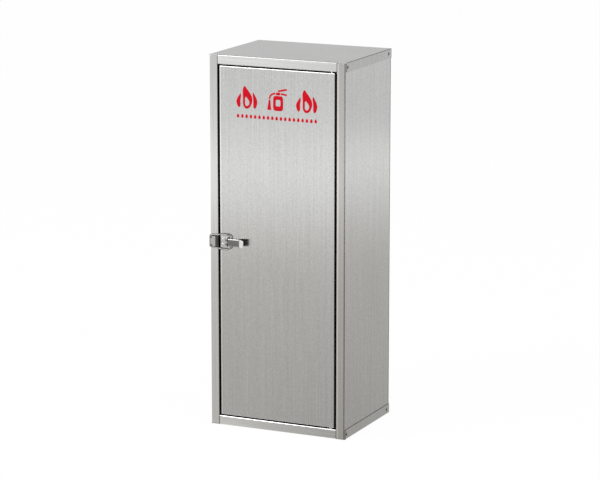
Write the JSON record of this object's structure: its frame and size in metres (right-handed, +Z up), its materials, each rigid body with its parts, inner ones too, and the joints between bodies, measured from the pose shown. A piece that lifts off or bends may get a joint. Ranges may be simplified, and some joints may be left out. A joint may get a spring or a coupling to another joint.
{
  "type": "fire extinguisher cabinet",
  "caption": "Tall folded stainless steel cabinet for a portable fire extinguisher, with a flush hinged door, wire draw latch, cap and base tray.",
  "frame": {"origin": "middle of the underside of the base tray", "axes": "+Z up, -Y out of the door, +X to the right as seen from the front"},
  "size_m": [0.275, 0.2235, 0.7],
  "materials": {
    "brushed_stainless": "fine vertical brushed grain, satin",
    "bright_stainless": "bright pressed and drawn stainless steel",
    "black_rubber": "matte"
  },
  "bodies": {
    "cabinet": {"top_cap": "brushed_stainless", "bottom_tray": "brushed_stainless", "left_side_panel": "brushed_stainless", "right_side_panel": "brushed_stainless", "back_panel": "brushed_stainless", "door_seal": "black_rubber", "upper_pivot_pin": "bright_stainless", "lower_pivot_pin": "bright_stainless", "pivot_washer": "bright_stainless", "strike": "bright_stainless"},
    "door": {"door_panel": "brushed_stainless", "latch_base": "bright_stainless", "latch_pin": "bright_stainless"},
    "lever": {"latch_lever": "bright_stainless"},
    "bail": {"latch_bail": "bright_stainless"}
  },
  "joints": [
    {"name": "door_hinge", "type": "hinge", "parent": "cabinet", "child": "door", "pos_m": [0.1075, -0.1, 0.35], "axis": [0, 0, 1], "range_deg": [0, 110]},
    {"name": "lever_hinge", "type": "hinge", "parent": "door", "child": "lever", "pos_m": [-0.1, -0.11, 0.352], "axis": [0, 0, -1], "range_deg": [0, 120]},
    {"name": "bail_pivot", "type": "hinge", "parent": "lever", "child": "bail", "pos_m": [-0.093, -0.1093, 0.352], "axis": [0, 0, 1], "range_deg": [0, 150]}
  ],
  "couplings": [
    {"joint": "bail_pivot", "follows": "lever_hinge", "ratio": 1.25}
  ]
}
